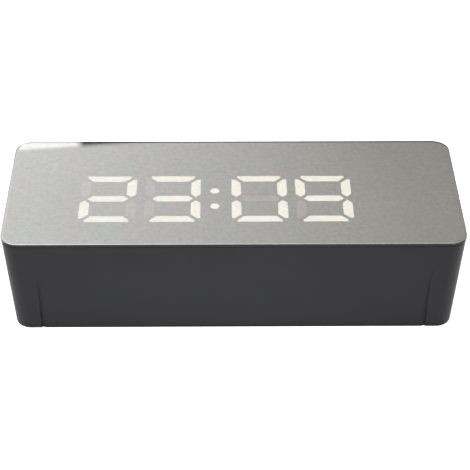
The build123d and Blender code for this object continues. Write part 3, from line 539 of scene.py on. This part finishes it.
def plated(name, colour, roughness):
    """Metal with fine lines of rolling along X, in its roughness and its relief."""
    material, tree, shader = new_finish(name, colour, roughness, 1.0)
    place = tree.nodes.new("ShaderNodeTexCoord")
    stretch = tree.nodes.new("ShaderNodeMapping")
    stretch.inputs["Scale"].default_value = ROLLING_WAVES
    lines = tree.nodes.new("ShaderNodeTexNoise")
    lines.inputs["Scale"].default_value = 1.0
    tree.links.new(place.outputs["Object"], stretch.inputs["Vector"])
    tree.links.new(stretch.outputs["Vector"], lines.inputs["Vector"])
    smoothest, roughest = (roughness + change for change in ROLLING_SHEEN)
    tree.links.new(spread(tree, lines.outputs["Fac"], smoothest, roughest), shader.inputs["Roughness"])
    bump(tree, shader, lines.outputs["Fac"], ROLLING_RELIEF)
    return material


finishes["screw_steel"] = plated("screw_steel", (0.04, 0.04, 0.042), 0.35)
finishes["crystal_can"] = plated("crystal_can", (0.70, 0.70, 0.70), 0.25)
finishes["cell_steel"] = plated("cell_steel", (0.68, 0.68, 0.67), 0.22)
finishes["plated_contact"] = plated("plated_contact", (0.72, 0.71, 0.67), 0.25)
print("finishes so far:", len(finishes))

# %% [markdown]
# ## Circuit boards
#
# The boards have a green mask over darker tracks. A brick pattern, in metres, stands in for the
# rows of tracks: its mortar is the gap between two tracks.

# %% Circuit board
MASK_COLOUR = (0.012, 0.11, 0.045)
MASK_ROUGHNESS = 0.32
TRACK_LENGTH = 0.0061
TRACK_PITCH = 0.00127
TRACK_GAP = 0.00022
TRACK_COLOURS = {
    "Color1": (0.010, 0.10, 0.040),
    "Color2": (0.014, 0.13, 0.052),
    "Mortar": (0.004, 0.052, 0.020),
}


def circuit_board(name):
    """Green mask over rows of tracks: bricks of a track's length, one pitch apart."""
    material, tree, shader = new_finish(name, MASK_COLOUR, MASK_ROUGHNESS)
    place = tree.nodes.new("ShaderNodeTexCoord")
    tracks = tree.nodes.new("ShaderNodeTexBrick")
    tracks.inputs["Scale"].default_value = 1.0
    tracks.inputs["Brick Width"].default_value = TRACK_LENGTH
    tracks.inputs["Row Height"].default_value = TRACK_PITCH
    tracks.inputs["Mortar Size"].default_value = TRACK_GAP
    for socket, colour in TRACK_COLOURS.items():
        tracks.inputs[socket].default_value = (*colour, 1.0)
    tree.links.new(place.outputs["Object"], tracks.inputs["Vector"])
    tree.links.new(tracks.outputs["Color"], shader.inputs["Base Color"])
    return material


finishes["circuit_board"] = circuit_board("circuit_board")
print("track pitch mm:", TRACK_PITCH * 1000)

# %% [markdown]
# ## Cell sleeves
#
# A battery cell wears a shrunk plastic sleeve. Its middle is dark and its ends are light, and
# the border between them is a plain test on the distance from the cell's middle, along X.

# %% Banded sleeve
BAND_START = 0.0135
BAND_BORDER = 0.0002
SLEEVE_ROUGHNESS = 0.3
SLEEVE_WAVES = 300.0
SLEEVE_RELIEF = 0.00001


def banded_sleeve(name, middle, ends):
    """Shrunk sleeve of a cell: one plain colour, with a plain lighter band towards each end."""
    material, tree, shader = new_finish(name, middle, SLEEVE_ROUGHNESS)
    along = maths(tree, "ABSOLUTE", axes(tree)["X"])
    band = ranged(tree, along, BAND_START, BAND_START + BAND_BORDER, 0.0, 1.0)
    tree.links.new(mixed(tree, band, middle, ends), shader.inputs["Base Color"])
    bump(tree, shader, object_noise(tree, SLEEVE_WAVES), SLEEVE_RELIEF)
    return material


finishes["cell_sleeve"] = banded_sleeve("cell_sleeve", (0.06, 0.075, 0.10), (0.50, 0.50, 0.51))
print("band starts at mm:", BAND_START * 1000)

# %% [markdown]
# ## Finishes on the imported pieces
#
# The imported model's record says which material slot each piece has. The finishes above carry
# the same names, so one loop dresses them all. Only the materials change: the meshes and the
# places of these pieces stay as they came.

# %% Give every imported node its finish
for subpart in frame["record"]["subparts"]:
    node = nodes[subpart["node"]]
    for slot in node.material_slots:
        slot.material = finishes[subpart["material_slot"]]

# %% [markdown]
# ## The face panel as a surface
#
# The panel's outline is a rectangle with round corners. A scaled cube with a Bevel modifier
# would come close, but here the whole surface is worked out with numpy: each ring is the
# outline drawn in by some amount at some height. The rings go in order from the bottom's
# middle out to the edge, up it, over the eased corner, and in again to the top's middle. A
# ring of zero size would pinch, so the two flat faces end in a small ring that a single
# many-sided face closes.

# %% Outline and ring surface
SMALLEST_RADIUS = 0.0005


def round_outline(length, width, radius, inset, steps):
    """Points round a rectangle with round corners, drawn in by inset.

    Each quarter turn has steps + 1 angles; a point is the corner's centre plus the radius times
    the direction of its angle.
    """
    corner_radius = max(radius - inset, SMALLEST_RADIUS)
    half = np.array([length / 2 - inset - corner_radius, width / 2 - inset - corner_radius])
    signs = np.array([[1, 1], [-1, 1], [-1, -1], [1, -1]], float)
    turn = np.arange(4)[:, None] * np.pi / 2 + np.linspace(0, np.pi / 2, steps + 1)[None, :]
    directions = np.stack([np.cos(turn), np.sin(turn)], axis=-1)
    points = signs[:, None, :] * half + corner_radius * directions
    return points.reshape(-1, 2)


def ring_surface(name, rings, finish_of_band, used_finishes):
    """Closed surface through rings of equal count, capped at both ends.

    Band k joins ring k to ring k + 1, and finish_of_band[k] is its material's number.
    """
    count = rings[0].shape[0]
    points = np.concatenate(rings)
    ring_start = np.arange(len(rings) - 1)[:, None] * count
    first = ring_start + np.arange(count)[None, :]
    second = ring_start + (np.arange(count)[None, :] + 1) % count
    quads = np.stack([first, second, second + count, first + count], axis=-1).reshape(-1, 4)
    bottom = list(range(count - 1, -1, -1))
    top = list(range((len(rings) - 1) * count, len(rings) * count))
    mesh = bpy.data.meshes.new(name)
    mesh.from_pydata(points.tolist(), [], quads.tolist() + [bottom, top])
    for finish in used_finishes:
        mesh.materials.append(finish)
    numbers = np.concatenate([
        np.repeat(np.array(finish_of_band), count),
        np.array([finish_of_band[0], finish_of_band[-1]]),
    ])
    mesh.polygons.foreach_set("material_index", numbers.astype(np.int32))
    mesh.validate()
    mesh.update()
    piece = bpy.data.objects.new(name, mesh)
    scene.collection.objects.link(piece)
    return piece


print("smallest corner mm:", SMALLEST_RADIUS * 1000)

# %% [markdown]
# ## Rings of the panel
#
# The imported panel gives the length, the width and both heights, so the new surface takes its
# place exactly. Its top edge is eased in two narrow facets, of 6 and 14 degrees, which is how
# the photograph gets its light line along the near edge and its dark one along the far edge.
# The coat covers the top. The bottom is clear, apart from the dark border that the tape covers.

# %% Face panel
PANEL_RADIUS = 0.0072
CORNER_STEPS = 16
EASE_WIDTH = 0.0013
OUTER_FACET_WIDTH = 0.0004
INNER_FACET_ANGLE = math.radians(6.0)
OUTER_FACET_ANGLE = math.radians(14.0)
BORDER_WIDTH = 0.003
FLAT_INSET = 0.012
COAT, BORDER, CLEAR = range(3)

panel_low, panel_high = (np.array(corner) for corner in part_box("mirror_panel"))
panel_length, panel_width, panel_thickness = panel_high - panel_low
bottom_z = panel_low[2]
top_z = panel_high[2]
inner_drop = (EASE_WIDTH - OUTER_FACET_WIDTH) * math.tan(INNER_FACET_ANGLE)
outer_drop = inner_drop + OUTER_FACET_WIDTH * math.tan(OUTER_FACET_ANGLE)


def panel_ring(inset, height):
    """The panel's outline drawn in by inset, with every point at the same height."""
    outline = round_outline(panel_length, panel_width, PANEL_RADIUS, inset, CORNER_STEPS)
    return np.column_stack([outline, np.full(len(outline), height)])


panel_rings = [
    panel_ring(FLAT_INSET, bottom_z),
    panel_ring(BORDER_WIDTH, bottom_z),
    panel_ring(0.0, bottom_z),
    panel_ring(0.0, top_z - outer_drop),
    panel_ring(OUTER_FACET_WIDTH, top_z - inner_drop),
    panel_ring(EASE_WIDTH, top_z),
    panel_ring(FLAT_INSET, top_z),
]
face_panel = ring_surface(
    "face_panel",
    panel_rings,
    [CLEAR, BORDER, BORDER, COAT, COAT, COAT],
    [finishes["half_mirror"], finishes["panel_edge"], finishes["clear_underside"]],
)
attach(face_panel, "case")
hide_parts("mirror_panel")
print("panel mm:", np.round((panel_high - panel_low) * 1000, 2))

# %% [markdown]
# ## Floor
#
# The photograph has a plain white ground with no shadow to speak of. The floor is white paint
# that also glows a little, and more so for the camera, so that the ground stays white right up
# to the case. The case lies on it, which would leave its back black in a view from below.
# So the floor is clear from underneath, and also for rays that start within 2 mm of it.

# %% Floor paint
FLOOR_COLOUR = (0.9, 0.9, 0.9)
FLOOR_ROUGHNESS = 0.9
FLOOR_GLOW = 0.12
FLOOR_GLOW_SEEN = 0.62
FLOOR_CLOSE = 0.002

floor_finish, floor_tree, floor_shader = new_finish("floor_paint", FLOOR_COLOUR, FLOOR_ROUGHNESS)
floor_shader.inputs["Emission Color"].default_value = (1.0, 1.0, 1.0, 1.0)
floor_ray = floor_tree.nodes.new("ShaderNodeLightPath")
floor_side_seen = floor_tree.nodes.new("ShaderNodeNewGeometry")
floor_clear = floor_tree.nodes.new("ShaderNodeBsdfTransparent")
floor_mix = floor_tree.nodes.new("ShaderNodeMixShader")
floor_glow = spread(floor_tree, floor_ray.outputs["Is Camera Ray"], FLOOR_GLOW, FLOOR_GLOW_SEEN)
floor_near = maths(floor_tree, "LESS_THAN", floor_ray.outputs["Ray Length"], FLOOR_CLOSE)
floor_open = maths(floor_tree, "MAXIMUM", floor_near, floor_side_seen.outputs["Backfacing"])
floor_tree.links.new(floor_glow, floor_shader.inputs["Emission Strength"])
floor_tree.links.new(floor_open, floor_mix.inputs[0])
floor_tree.links.new(floor_shader.outputs[0], floor_mix.inputs[1])
floor_tree.links.new(floor_clear.outputs[0], floor_mix.inputs[2])
floor_tree.links.new(floor_mix.outputs[0], floor_tree.nodes["Material Output"].inputs["Surface"])
print("floor nodes:", len(floor_tree.nodes))

# %% [markdown]
# One square face is enough for the floor. It lies a tenth of a millimetre under the case,
# because two faces in one plane would flicker. It isn't part of the object.

# %% Floor
FLOOR_SIZE = 6.0
FLOOR_GAP = 0.0001

floor_side = np.array([-1.0, 1.0]) * FLOOR_SIZE / 2
floor_x, floor_y = np.meshgrid(floor_side, floor_side)
floor_points = np.column_stack([floor_x.ravel(), floor_y.ravel(), np.full(4, -FLOOR_GAP)])
floor_mesh = bpy.data.meshes.new("floor")
floor_mesh.from_pydata(floor_points.tolist(), [], [[0, 1, 3, 2]])
floor_mesh.materials.append(floor_finish)
floor = bpy.data.objects.new("floor", floor_mesh)
scene.collection.objects.link(floor)
print("floor m:", FLOOR_SIZE)

# %% [markdown]
# ## Lamps
#
# A large soft lamp overhead fills the studio. A spot in front is aimed past the case, so that
# the near side lies in the soft flank of its cone and gets a little darker towards its foot, as
# in the photograph. Neither lamp may show as a white patch in the mirror, so both are hidden
# from glossy rays.


# %% Lamps
def place_lamp(data, place, aim):
    """Lamp object at a place, facing an aim point, and unseen in mirrors."""
    lamp = bpy.data.objects.new(data.name, data)
    lamp.location = place
    lamp.rotation_euler = (aim - place).to_track_quat("-Z", "Y").to_euler()
    lamp.visible_glossy = False
    scene.collection.objects.link(lamp)


OVERHEAD_PLACE = Vector((0.0, -0.1, 1.3))
OVERHEAD_AIM = Vector((0.0, 0.0, 0.0))
OVERHEAD_SIZE = 1.0
OVERHEAD_POWER = 12.0
POOL_PLACE = Vector((-0.02, -0.33, 0.42))
POOL_AIM = Vector((-0.005, 0.075, 0.045))
POOL_POWER = 9.5
POOL_CONE = math.radians(40.0)
POOL_SIZE = 0.05

overhead = bpy.data.lights.new("overhead", "AREA")
overhead.shape = "SQUARE"
overhead.size = OVERHEAD_SIZE
overhead.energy = OVERHEAD_POWER
place_lamp(overhead, OVERHEAD_PLACE, OVERHEAD_AIM)

pool = bpy.data.lights.new("pool", "SPOT")
pool.energy = POOL_POWER
pool.spot_size = POOL_CONE
pool.spot_blend = 1.0
pool.shadow_soft_size = POOL_SIZE
place_lamp(pool, POOL_PLACE, POOL_AIM)
print("lamps:", sorted(lamp.name for lamp in bpy.data.lights))
